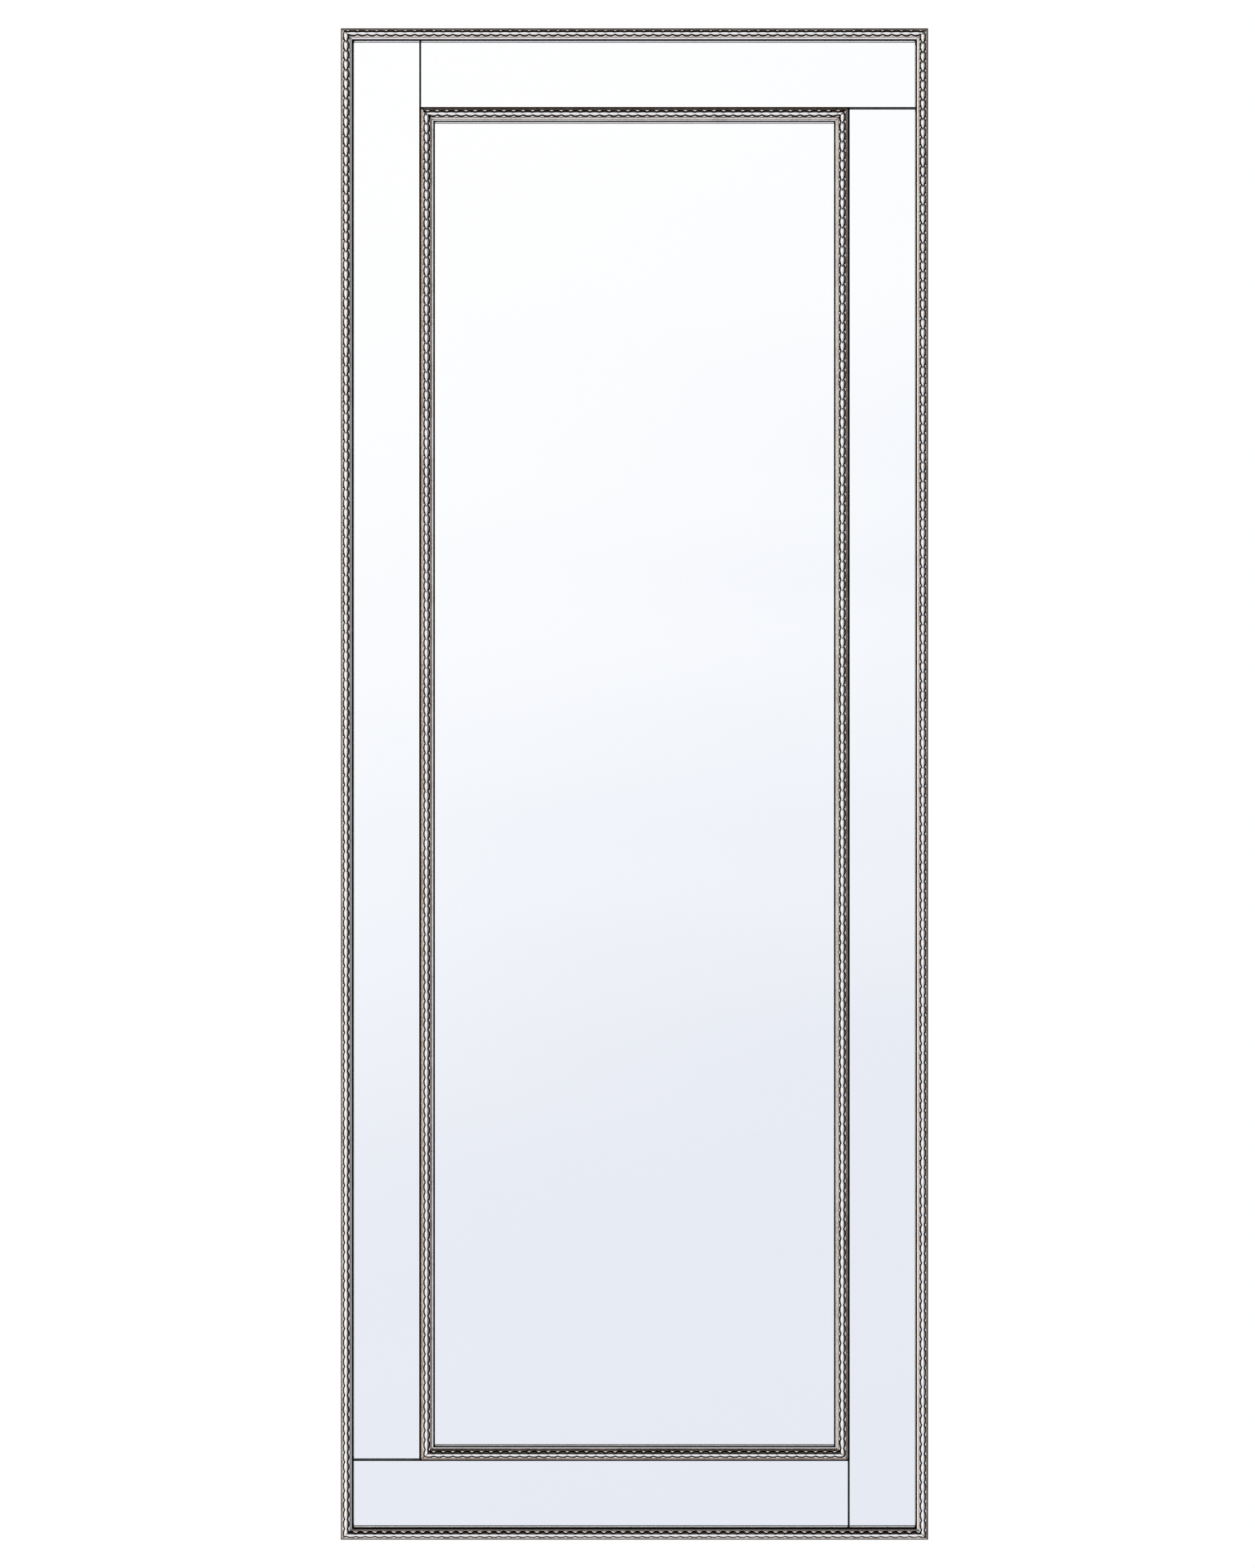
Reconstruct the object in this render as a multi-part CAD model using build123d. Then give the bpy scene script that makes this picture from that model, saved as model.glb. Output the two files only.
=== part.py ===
from build123d import *
import math
import os

# Wall mirror: a mirrored border of four glass strips laid as a pinwheel round a centre mirror,
# with a beaded silver moulding outside the strips and another between the strips and the centre.
# Millimetres. +X is to the right as the mirror is looked at, +Z is up and the glass faces -Y.
# The origin is the centre of the wall plane that the rear bumpers rest against.
# "Forward" sizes below are distances from that plane towards the viewer.

# Overall size of the frame
overall_width = 505.0
overall_height = 1300.0

# Layers from the wall forwards
bumper_projection = 1.5
hardware_recess = 4.5
board_thickness = 9.0
tape_thickness = 1.0
glass_thickness = 3.0

# Outer moulding, across from its outer edge and forwards of the glass
outer_moulding_width = 10.7
outer_wall_width = 6.0
outer_fillet_width = 1.4
outer_fillet_height = 2.4
outer_crest_inset = 4.8
outer_crest_height = 6.2
outer_chain_end_inset = 8.4
outer_lip_height = 3.2
outer_edge_round = 0.5

# Inner moulding, across from its outer side and forwards of the glass
inner_moulding_width = 12.8
inner_foot_width = 9.3
inner_shoulder_height = 1.8
inner_slope_width = 3.1
inner_slope_height = 4.0
inner_crest_inset = 6.3
inner_crest_height = 7.0
inner_chain_end_inset = 9.4
inner_chain_end_height = 3.2
inner_lip_height = 2.0
inner_edge_round = 0.6

# Glass
strip_visible_width = 57.0
glass_arris = 0.35
strip_joint_gap = 0.6
rabbet_clearance = 0.5

# Foam tape between glass and board
strip_tape_width = 30.0
centre_tape_width = 20.0
centre_tape_count = 4
centre_tape_side_inset = 47.5
tape_end_inset = 30.0

# Corner nails, bent to a right angle and driven across each mitre
corner_nail_arm = 3.2
corner_nail_thickness = 0.6
corner_nail_height = 6.0
corner_nail_inset = 2.4

# Steel points that hold the board in the outer moulding
point_length = 14.0
point_width = 6.0
point_thickness = 0.4
point_bite = 4.2
point_end_inset = 95.0
point_pitch = 170.0

# Countersunk screws through the board into the inner moulding
moulding_screw_radius = 1.5
moulding_screw_head_radius = 3.0
moulding_screw_bite = 5.0
moulding_screw_end_inset = 60.0
moulding_screw_pitch = 180.0

# Hangers: a folded steel strap that holds a D-shaped wire ring
ring_wire_radius = 1.5
ring_half_width = 10.5
ring_corner_radius = 3.0
ring_leg_length = 2.0
ring_bore_clearance = 0.08
ring_board_gap = 0.3
strap_sheet_thickness = 1.0
strap_width = 14.0
strap_length = 44.0
strap_corner_radius = 3.0
strap_screw_first = 23.0
strap_screw_pitch = 13.0
strap_hole_clearance = 0.25

# Hanger screws, with a domed head and a cross recess
hanger_screw_radius = 1.75
hanger_screw_length = 9.5
hanger_screw_point = 2.0
hanger_screw_tip_radius = 0.4
hanger_screw_head_radius = 3.5
hanger_screw_head_height = 2.0
hanger_screw_head_round = 0.9
recess_length = 3.6
recess_width = 0.9
recess_depth = 1.1
screw_seat_clearance = 0.02

# Places of the hangers, from the frame's outer edges to the ring's hinge line
portrait_side_inset = 100.0
portrait_top_inset = 120.0
landscape_side_inset = 60.0
landscape_end_inset = 250.0

# Rubber bumpers near the corners of the board
bumper_radius = 6.3
bumper_taper = 0.8
bumper_edge_round = 0.8
bumper_corner_inset = 34.0

# Planes worked out from the layers, as distances forwards of the wall
moulding_rear = bumper_projection
board_rear = moulding_rear + hardware_recess
board_front = board_rear + board_thickness
glass_rear = board_front + tape_thickness
glass_front = glass_rear + glass_thickness

# Outlines worked out from the widths, as half widths and half heights
half_width = overall_width / 2
half_height = overall_height / 2
rabbet_inset = outer_wall_width + rabbet_clearance
inner_frame_inset = outer_moulding_width + strip_visible_width
inner_half_width = half_width - inner_frame_inset
inner_half_height = half_height - inner_frame_inset
centre_half_width = inner_half_width - inner_foot_width - rabbet_clearance
centre_half_height = inner_half_height - inner_foot_width - rabbet_clearance
moulding_screw_inset = inner_foot_width / 2

# Hanger sizes worked out from the wire and the sheet
barrel_bore = ring_wire_radius + ring_bore_clearance
barrel_radius = barrel_bore + strap_sheet_thickness
strap_thickness = 2 * strap_sheet_thickness
ring_reach = ring_corner_radius + ring_leg_length + ring_half_width
ring_lean = math.degrees(math.asin((barrel_radius - ring_wire_radius - ring_board_gap) / ring_reach))


def block(x_low, x_high, forward_low, forward_high, z_low, z_high):
    """A box between two X values, two distances forward of the wall and two Z values."""
    solid = Box(x_high - x_low, forward_high - forward_low, z_high - z_low)
    centre = ((x_low + x_high) / 2, -(forward_low + forward_high) / 2, (z_low + z_high) / 2)
    return Pos(*centre) * solid


def spread(span, end_inset, count):
    """Evenly spaced places along a span that is centred on zero."""
    reach = span - 2 * end_inset
    return [reach * (index / (count - 1) - 0.5) for index in range(count)]


def spaced(span, end_inset, pitch):
    """As many evenly spaced places along a span as keep them no further apart than the pitch."""
    steps = max(1, math.ceil((span - 2 * end_inset) / pitch))
    return spread(span, end_inset, steps + 1)


def turned(solid, quarter_turns):
    """The solid turned about the Y axis, which carries the bottom side to left, top and right."""
    return Rot(0, 90 * quarter_turns, 0) * solid


def drilled(solid, cutters):
    """The solid with each cutter that reaches it taken out."""
    for cutter in cutters:
        solid = solid - cutter
    return solid


# Mouldings

def outer_section():
    """Outer moulding across (X) and forwards (Y): rear wall, outer fillet, bead dome and lip."""
    fillet_top = glass_front + outer_fillet_height
    lip_top = glass_front + outer_lip_height
    crest = (outer_crest_inset, glass_front + outer_crest_height)
    width = outer_moulding_width
    rounded = outer_edge_round
    lines = [
        Line((0, moulding_rear), (0, fillet_top - rounded)),
        RadiusArc((0, fillet_top - rounded), (rounded, fillet_top), rounded),
        Line((rounded, fillet_top), (outer_fillet_width, fillet_top)),
        ThreePointArc((outer_fillet_width, fillet_top), crest, (outer_chain_end_inset, lip_top)),
        Line((outer_chain_end_inset, lip_top), (width - rounded, lip_top)),
        RadiusArc((width - rounded, lip_top), (width, lip_top - rounded), rounded),
        Line((width, lip_top - rounded), (width, glass_front)),
        Line((width, glass_front), (outer_wall_width, glass_front)),
        Line((outer_wall_width, glass_front), (outer_wall_width, moulding_rear)),
        Line((outer_wall_width, moulding_rear), (0, moulding_rear)),
    ]
    return make_face(lines)


def inner_section():
    """Inner moulding across (X) and forwards (Y): foot, plain slope, bead dome and stepped lip."""
    shoulder = glass_front + inner_shoulder_height
    slope_top = glass_front + inner_slope_height
    crest = (inner_crest_inset, glass_front + inner_crest_height)
    chain_end = (inner_chain_end_inset, glass_front + inner_chain_end_height)
    lip_top = glass_front + inner_lip_height
    width = inner_moulding_width
    rounded = inner_edge_round
    lines = [
        Line((0, board_front), (0, shoulder)),
        Line((0, shoulder), (inner_slope_width, slope_top)),
        ThreePointArc((inner_slope_width, slope_top), crest, chain_end),
        Line(chain_end, (width - rounded, lip_top)),
        Line((width - rounded, lip_top), (width, lip_top - rounded)),
        Line((width, lip_top - rounded), (width, glass_front)),
        Line((width, glass_front), (inner_foot_width, glass_front)),
        Line((inner_foot_width, glass_front), (inner_foot_width, board_front)),
        Line((inner_foot_width, board_front), (0, board_front)),
    ]
    return make_face(lines)


def mitred_bar(section, width, half_span, half_drop):
    """A moulding along the bottom side, cut at 45 degrees where it meets its neighbours."""
    side_plane = Plane(origin=(-half_span, 0, -half_drop), x_dir=(0, 0, 1), z_dir=(1, 0, 0))
    bar = extrude(side_plane * section, amount=2 * half_span)
    outline = Polyline(
        (-half_span, -half_drop),
        (half_span, -half_drop),
        (half_span - width, width - half_drop),
        (width - half_span, width - half_drop),
        close=True,
    )
    front_plane = Plane(origin=(0, 0, 0), x_dir=(1, 0, 0), z_dir=(0, -1, 0))
    deep = glass_front + outer_crest_height + inner_crest_height
    return bar & extrude(front_plane * make_face(outline), amount=deep)


def mitred_frame(section, width, wide, high):
    """The four mitred mouldings of one frame, by side."""
    short_bar = mitred_bar(section, width, wide, high)
    long_bar = mitred_bar(section, width, high, wide)
    return {
        "bottom": turned(short_bar, 0),
        "left": turned(long_bar, 1),
        "top": turned(short_bar, 2),
        "right": turned(long_bar, 3),
    }


# Corner nails

def corner_nails(wide, high, rear):
    """One bent nail in each mitre, flush with the rear of the mouldings."""
    low = corner_nail_inset
    nails = []
    for side in (-1, 1):
        for end in (-1, 1):
            arms = []
            for along_x, along_z in ((corner_nail_arm, corner_nail_thickness),
                                     (corner_nail_thickness, corner_nail_arm)):
                x_near = side * (wide - low)
                x_far = side * (wide - low - along_x)
                z_near = end * (high - low)
                z_far = end * (high - low - along_z)
                arms.append(block(min(x_near, x_far), max(x_near, x_far),
                                  rear, rear + corner_nail_height,
                                  min(z_near, z_far), max(z_near, z_far)))
            nails.append(arms[0] + arms[1])
    return nails


# Steel points

def framers_points():
    """Flat points driven into the outer moulding's wall, lying on the rear of the board."""
    start = outer_wall_width - point_bite
    points = []
    for half_span, half_drop, turns in ((half_width, half_height, (0, 2)),
                                        (half_height, half_width, (1, 3))):
        for place in spaced(2 * half_span, point_end_inset, point_pitch):
            point = block(place - point_width / 2, place + point_width / 2,
                          board_rear - point_thickness, board_rear,
                          start - half_drop, start + point_length - half_drop)
            points += [turned(point, turn) for turn in turns]
    return points


# Glass

def glass_sheet(x_low, x_high, z_low, z_high):
    """A sheet of silvered glass with its front edges eased by a small arris."""
    sheet = block(x_low, x_high, glass_rear, glass_front, z_low, z_high)
    return chamfer(sheet.faces().sort_by(Axis.Y)[0].edges(), glass_arris)


def mirror_strips():
    """The four border strips: each starts beside the one before it and ends under the next."""
    outer_x = half_width - rabbet_inset
    outer_z = half_height - rabbet_inset
    left = glass_sheet(-outer_x, -inner_half_width, strip_joint_gap - inner_half_height, outer_z)
    top = glass_sheet(strip_joint_gap - inner_half_width, outer_x, inner_half_height, outer_z)
    return {"left": left, "top": top, "right": turned(left, 2), "bottom": turned(top, 2)}


# Foam tapes

def strip_tapes():
    """One length of foam tape behind the middle of each strip."""
    across = outer_moulding_width + strip_visible_width / 2
    near = across - strip_tape_width / 2
    far = across + strip_tape_width / 2
    start = rabbet_inset + tape_end_inset
    stop = inner_frame_inset + tape_end_inset
    left = block(near - half_width, far - half_width, board_front, glass_rear,
                 stop - half_height, half_height - start)
    top = block(stop - half_width, half_width - start, board_front, glass_rear,
                half_height - far, half_height - near)
    return {"left": left, "top": top, "right": turned(left, 2), "bottom": turned(top, 2)}


def centre_tapes():
    """Upright lengths of foam tape behind the centre mirror."""
    tapes = []
    for middle in spread(2 * centre_half_width, centre_tape_side_inset, centre_tape_count):
        tapes.append(block(middle - centre_tape_width / 2, middle + centre_tape_width / 2,
                           board_front, glass_rear,
                           tape_end_inset - centre_half_height,
                           centre_half_height - tape_end_inset))
    return tapes


# Screws

def moulding_screw_places():
    """X and Z of the screws behind the middle of the inner moulding's foot."""
    side_x = inner_half_width - moulding_screw_inset
    end_z = inner_half_height - moulding_screw_inset
    places = []
    for z in spaced(2 * inner_half_height, moulding_screw_end_inset, moulding_screw_pitch):
        places += [(-side_x, z), (side_x, z)]
    for x in spaced(2 * inner_half_width, moulding_screw_end_inset, moulding_screw_pitch):
        places += [(x, -end_z), (x, end_z)]
    return places


def moulding_screw(clearance=0.0):
    """A countersunk screw pointing forwards, or its hole when a clearance is given."""
    shank = moulding_screw_radius + clearance
    head = moulding_screw_head_radius + clearance
    length = board_thickness + moulding_screw_bite
    body = Pos(0, 0, length / 2) * Cylinder(shank, length)
    cone_depth = head - shank
    cone = Pos(0, 0, cone_depth / 2) * Cone(head, shank, cone_depth)
    screw = body + cone
    if clearance:
        return screw
    return screw - cross_recess(0.0)


def hanger_screw():
    """A pan-head screw whose head seats on the plane z = 0 and whose shank points down."""
    height = hanger_screw_head_height
    head = Pos(0, 0, height / 2) * Cylinder(hanger_screw_head_radius, height)
    head = fillet(head.edges().sort_by(Axis.Z)[-1], hanger_screw_head_round)
    straight = hanger_screw_length - hanger_screw_point
    shank = Pos(0, 0, -straight / 2) * Cylinder(hanger_screw_radius, straight)
    tip = Pos(0, 0, -straight - hanger_screw_point / 2)
    point = tip * Cone(hanger_screw_tip_radius, hanger_screw_radius, hanger_screw_point)
    return (head + shank + point) - Rot(180, 0, 0) * cross_recess(-height)


def cross_recess(mouth):
    """The cross slot of a screw head whose face lies at z = mouth, cut towards +Z."""
    long_slot = Box(recess_length, recess_width, 2 * recess_depth)
    return Pos(0, 0, mouth) * (long_slot + Rot(0, 0, 90) * long_slot)


# Hangers, in their own frame: Y towards the ring, Z away from the board, X along the hinge

def hanger_strap():
    """The steel strip folded round the ring's straight side, its two leaves lying together."""
    leaf = Pos(0, -strap_length / 2, strap_thickness / 2)
    strap = leaf * Box(strap_width, strap_length, strap_thickness)
    corners = strap.edges().filter_by(Axis.Z).sort_by(Axis.Y)[:2]
    strap = fillet(corners, strap_corner_radius)
    across = Pos(0, 0, barrel_radius) * Rot(0, 90, 0)
    strap = strap + across * Cylinder(barrel_radius, strap_width)
    strap = strap - across * Cylinder(barrel_bore, 2 * strap_width)
    hole = Cylinder(hanger_screw_radius + strap_hole_clearance, 4 * strap_thickness)
    return drilled(strap, [Pos(0, -place, 0) * hole for place in strap_screw_places()])


def strap_screw_places():
    """Distances of the two strap screws behind the hinge line."""
    return (strap_screw_first, strap_screw_first + strap_screw_pitch)


def hanger_ring():
    """The D-shaped ring of round wire, leaning until its bow all but touches the board."""
    corner = ring_corner_radius
    wide = ring_half_width
    leg_end = corner + ring_leg_length
    straight = Line((corner - wide, 0), (wide - corner, 0))
    path = straight
    path += RadiusArc((wide - corner, 0), (wide, corner), -corner)
    path += Line((wide, corner), (wide, leg_end))
    path += ThreePointArc((wide, leg_end), (0, ring_reach), (-wide, leg_end))
    path += Line((-wide, leg_end), (-wide, corner))
    path += RadiusArc((-wide, corner), (corner - wide, 0), -corner)
    start = Plane(origin=(0, 0, 0), z_dir=(1, 0, 0))
    ring = sweep(start * Circle(ring_wire_radius), path=path)
    return Pos(0, 0, barrel_radius) * Rot(-ring_lean, 0, 0) * ring


def hanger_places():
    """The plane of each hanger on the rear of the board, its X along the ring's hinge."""
    side = half_width - portrait_side_inset
    top = half_height - portrait_top_inset
    edge = half_width - landscape_side_inset
    end = half_height - landscape_end_inset
    upright = {"portrait_left": (-side, top), "portrait_right": (side, top)}
    sideways = {"landscape_upper": (edge, end), "landscape_lower": (edge, -end)}
    places = {}
    for name, (x, z) in upright.items():
        places[name] = Plane(origin=(x, -board_rear, z), x_dir=(-1, 0, 0), z_dir=(0, 1, 0))
    for name, (x, z) in sideways.items():
        places[name] = Plane(origin=(x, -board_rear, z), x_dir=(0, 0, 1), z_dir=(0, 1, 0))
    return places


def hanger_screws():
    """Two screws through each strap into the board."""
    screws = []
    for plane in hanger_places().values():
        for place in strap_screw_places():
            screws.append(plane * Pos(0, -place, strap_thickness) * hanger_screw())
    return screws


# Bumpers

def wall_bumper():
    """A tapered rubber foot on the board, its flat rear face in the wall plane."""
    height = board_rear
    foot = Cone(bumper_radius, bumper_radius - bumper_taper, height)
    foot = fillet(foot.edges().sort_by(Axis.Z)[-1], bumper_edge_round)
    return Rot(-90, 0, 0) * foot


def bumper_places():
    """X and Z of the bumpers by corner name."""
    side = half_width - bumper_corner_inset
    end = half_height - bumper_corner_inset
    return {
        "upper_left": (-side, end),
        "upper_right": (side, end),
        "lower_left": (-side, -end),
        "lower_right": (side, -end),
    }


# Board

def backboard():
    """The fibreboard panel that carries the glass, drilled for every screw."""
    wide = half_width - rabbet_inset
    high = half_height - rabbet_inset
    panel = block(-wide, wide, board_rear, board_front, -high, high)
    holes = [place * moulding_screw(screw_seat_clearance) for place in moulding_screw_planes()]
    shaft = hanger_screw_radius + screw_seat_clearance
    depth = hanger_screw_length - strap_thickness + screw_seat_clearance
    pilot = Cylinder(shaft, 2 * depth)
    for plane in hanger_places().values():
        holes += [plane * Pos(0, -place, 0) * pilot for place in strap_screw_places()]
    return drilled(panel, holes)


def moulding_screw_planes():
    """Planes on the rear of the board, Z pointing forwards, one for each moulding screw."""
    places = []
    for x, z in moulding_screw_places():
        places.append(Plane(origin=(x, -board_rear, z), x_dir=(1, 0, 0), z_dir=(0, -1, 0)))
    return places


# Assembly: every node by name

def build():
    nodes = {}
    outer_nails = corner_nails(half_width, half_height, moulding_rear)
    inner_nails = corner_nails(inner_half_width, inner_half_height, board_front)
    points = framers_points()
    screw_holes = [place * moulding_screw(screw_seat_clearance) for place in moulding_screw_planes()]

    outer = mitred_frame(outer_section(), outer_moulding_width, half_width, half_height)
    for side, bar in outer.items():
        nodes["outer_moulding_" + side] = drilled(bar, outer_nails + points)
    inner = mitred_frame(inner_section(), inner_moulding_width, inner_half_width, inner_half_height)
    for side, bar in inner.items():
        nodes["inner_moulding_" + side] = drilled(bar, inner_nails + screw_holes)

    for side, sheet in mirror_strips().items():
        nodes["mirror_strip_" + side] = sheet
    nodes["centre_mirror"] = glass_sheet(-centre_half_width, centre_half_width,
                                         -centre_half_height, centre_half_height)
    for side, tape in strip_tapes().items():
        nodes["strip_tape_" + side] = tape
    for number, tape in enumerate(centre_tapes(), start=1):
        nodes["centre_tape_" + str(number)] = tape
    nodes["backboard"] = backboard()

    nodes["outer_corner_nails"] = Compound(children=outer_nails)
    nodes["inner_corner_nails"] = Compound(children=inner_nails)
    nodes["framers_points"] = Compound(children=points)
    moulding_screws = [place * moulding_screw() for place in moulding_screw_planes()]
    nodes["inner_moulding_screws"] = Compound(children=moulding_screws)
    nodes["hanger_screws"] = Compound(children=hanger_screws())

    for name, plane in hanger_places().items():
        nodes["hanger_strap_" + name] = plane * hanger_strap()
        nodes["hanger_ring_" + name] = plane * hanger_ring()
    for corner, (x, z) in bumper_places().items():
        nodes["wall_bumper_" + corner] = Pos(x, -board_rear / 2, z) * wall_bumper()
    return nodes


os.makedirs("parts", exist_ok=True)
for node, shape in build().items():
    export_step(shape, "parts/" + node + ".step")
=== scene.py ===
import math

import bmesh
import bpy
import numpy as np
from mathutils import Matrix, Vector


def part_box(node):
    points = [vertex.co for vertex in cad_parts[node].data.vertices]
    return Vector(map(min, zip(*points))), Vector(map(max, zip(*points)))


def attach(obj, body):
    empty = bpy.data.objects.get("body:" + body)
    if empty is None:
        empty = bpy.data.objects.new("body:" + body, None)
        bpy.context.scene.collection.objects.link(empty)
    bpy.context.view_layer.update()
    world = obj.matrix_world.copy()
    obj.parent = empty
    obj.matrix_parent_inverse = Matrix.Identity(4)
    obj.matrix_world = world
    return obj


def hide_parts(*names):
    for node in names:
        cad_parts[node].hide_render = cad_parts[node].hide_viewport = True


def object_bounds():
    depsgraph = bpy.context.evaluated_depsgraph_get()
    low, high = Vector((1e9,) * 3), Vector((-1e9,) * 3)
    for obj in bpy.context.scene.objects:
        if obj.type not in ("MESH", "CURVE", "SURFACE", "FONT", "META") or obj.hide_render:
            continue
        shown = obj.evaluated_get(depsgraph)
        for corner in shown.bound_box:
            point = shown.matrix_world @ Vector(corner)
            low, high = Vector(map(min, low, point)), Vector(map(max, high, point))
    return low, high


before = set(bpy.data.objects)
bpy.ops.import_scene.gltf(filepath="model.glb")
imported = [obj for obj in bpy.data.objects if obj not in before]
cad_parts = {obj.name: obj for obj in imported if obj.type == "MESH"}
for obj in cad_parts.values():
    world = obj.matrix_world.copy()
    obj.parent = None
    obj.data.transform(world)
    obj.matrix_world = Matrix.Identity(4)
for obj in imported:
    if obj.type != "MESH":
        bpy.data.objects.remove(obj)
cad_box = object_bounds()
scene = bpy.context.scene
scene.view_settings.view_transform = "Standard"

# Camera
# Square on to the glass at mid height, and far enough back that the long sides look parallel. The
# mirror sits a hair right of the middle of the picture, as in the photograph.

frame_low = cad_box[0]
VIEW_DISTANCE = 2.5
VIEW_HEIGHT = 1.3458   # what the picture's longer side takes in at the mirror's front
VIEW_OFFSET = -0.006
SENSOR = 36.0
FARTHEST_VIEW = 50.0

camera_data = bpy.data.cameras.new("view")
camera_data.sensor_width = SENSOR
camera_data.lens = SENSOR * VIEW_DISTANCE / VIEW_HEIGHT
camera_data.clip_end = FARTHEST_VIEW
camera = bpy.data.objects.new("view", camera_data)
scene.collection.objects.link(camera)
camera.location = (VIEW_OFFSET, frame_low[1] - VIEW_DISTANCE, 0.0)
camera.rotation_euler = (math.radians(90), 0, 0)
scene.camera = camera

# Outer moulding
# A slim length of moulded polystyrene wrapped in warm silver foil: a plain fillet, a chain of oval
# beads between two rows of half-moon leaves, and a plain lip that grips the glass. A dark wash is
# left in the hollows, and the rounded outer edge, the lip's inner wall and the edge of its
# underside are painted near black as painted shade. Four lengths are mitred and nailed at the
# corners. Its sizes are in mm.

MM = 0.001
BODY = "mirror_body"

bead_pitch = 8.2
bead_half = 2.05    # half a bead's width
neck_half = 0.9     # half the chain's width between two beads
steps_per_bead = 12  # crosswise cuts
BLACK = 1.2         # the tone of a fully dark line, where 0 is clean foil; it marks wash in grooves and painted shade on edges and lips
mitre_joint = 0.08  # how far a length stops short of its mitre
crease = math.radians(62)  # a sharper fold than this shows as an edge

outer_low, outer_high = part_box("outer_moulding_bottom")
outer_width = (outer_high[2] - outer_low[2]) / MM
outer_rear = -outer_high[1] / MM
half_width = outer_high[0] / MM
half_height = -outer_low[2] / MM
strip_low, strip_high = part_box("mirror_strip_top")
glass_front = -strip_low[1] / MM
outer_wall = 6.0    # how thick the length is beside the board
lip_gap = 0.12      # between the lip and the glass


def bead_waves(count, offset):
    """Places along a moulding, and there how far it is from neck (0) to bead (1) and back."""
    bead_fullness, leaf_fullness = 0.9, 0.7
    along = np.arange(count) * bead_pitch / steps_per_bead
    phase = (along / bead_pitch + offset) % 1.0
    bulge = np.sin(np.pi * phase) ** bead_fullness
    leaf = np.clip(np.cos(2 * np.pi * phase), 0.0, 1.0) ** leaf_fullness
    return along, bulge, leaf


def chain_rows(bulge, leaf, centre, crest, near, far):
    """Lengthwise rows over one bead chain and the leaves beside it, as (across, height, tone).

    Across is from the length's outer edge and height is above the glass. near and far give where a
    field of leaves has its outer edge, and its height there and beside the chain.
    """
    neck_drop = 1.0
    groove, groove_depth = 0.76, 0.95
    foot_gap, rounded = 0.08, 0.1
    plain_tone, outline_tone, rim_tone = 0.48, 0.7, 0.75
    leaf_steps = ((0.0, 0.0), (0.24, 0.0), (0.35, 0.92), (0.6, 1.0), (0.84, 1.0), (0.93, 0.0))
    bead_steps = ((0.97, BLACK), (0.88, 0.7), (0.7, 0.0), (0.42, 0.0))
    half = neck_half + (bead_half - neck_half) * bulge
    neck_crest = crest - neck_drop
    top = neck_crest + (crest - neck_crest) * bulge ** 0.8
    rows = []
    for side, (edge_at, edge_height, inner_height) in ((-1, near), (1, far)):
        flank = []
        lip_at = centre + side * (half + groove)
        reach = abs(centre + side * (neck_half + groove) - edge_at)

        def field(at):
            return edge_height + (inner_height - edge_height) * np.abs(at - edge_at) / reach

        on_leaf = np.clip(leaf * 2.2 - 0.25, 0, 1)
        edging = rim_tone * np.exp(-((leaf - 0.2) / 0.13) ** 2)
        leaf_top = field(edge_at + 0.86 * (lip_at - edge_at)) + rounded
        for share, raised in leaf_steps:
            at = edge_at + share * (lip_at - edge_at)
            height = field(at) + raised * on_leaf * (leaf_top - field(at))
            if raised:
                tone = plain_tone + edging - plain_tone * on_leaf
            else:
                tone = plain_tone + (outline_tone * on_leaf if share else 0.0)
            flank.append((at, height, tone))
        flank.append((lip_at, field(lip_at) - rounded, BLACK))
        floor = field(lip_at) - groove_depth
        flank.append((centre + side * (half + 0.5 * groove), floor, BLACK))
        flank.append((centre + side * (half + foot_gap), floor, BLACK))
        for share, tone in bead_steps:
            rise = math.sqrt(1 - share ** 2.6)
            flank.append((centre + side * share * half, floor + (top - floor) * rise, tone))
        rows += flank if side < 0 else [(centre, top, 0.0)] + flank[::-1]
    return rows


def outer_rows(bulge, leaf):
    """The outer moulding's section as a closed loop of lengthwise rows, from the rear forwards."""
    fillet = 2.4
    lip = 3.2
    rear = outer_rear - glass_front + 0.1
    rows = [
        (0.3, rear, 0.7), (0.0, rear + 0.3, 0.28), (0.0, fillet - 1.5, 0.28),
        # the rounded outer edge is painted near black: painted shade
        (0.0, fillet - 0.95, BLACK), (0.5, fillet - 0.5, BLACK), (0.78, fillet - 0.25, BLACK),
        (0.92, fillet - 0.14, 0.4), (1.22, fillet + 0.05, 0.35), (1.42, fillet - 0.1, 0.8),
    ]
    rows += chain_rows(bulge, leaf, 4.8, 6.1, (1.6, fillet - 0.05, 4.4), (8.25, lip + 0.25, 4.6))
    rows += [
        (8.42, lip + 0.05, 0.8), (8.56, lip + 0.22, 0.25), (8.85, lip + 0.12, 0.05),
        # down the lip's inner wall and round the edge of its underside, painted near black: painted
        # shade, also seen in the glass as a dark line
        (9.25, lip - 0.16, 0.0), (9.55, lip - 0.42, 0.15), (9.68, lip - 0.56, BLACK),
        (10.2, lip - 1.0, BLACK), (10.55, lip - 1.4, BLACK), (outer_width, 1.15, BLACK),
        (outer_width - 0.02, 0.95, BLACK), (outer_width - 0.38, 0.76, BLACK),
        (outer_width - 0.46, 0.72, 0.0), (outer_width - 1.6, lip_gap, 0.0),
        (outer_wall, lip_gap, 0.2), (outer_wall, rear, BLACK),
    ]
    return rows


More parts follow.
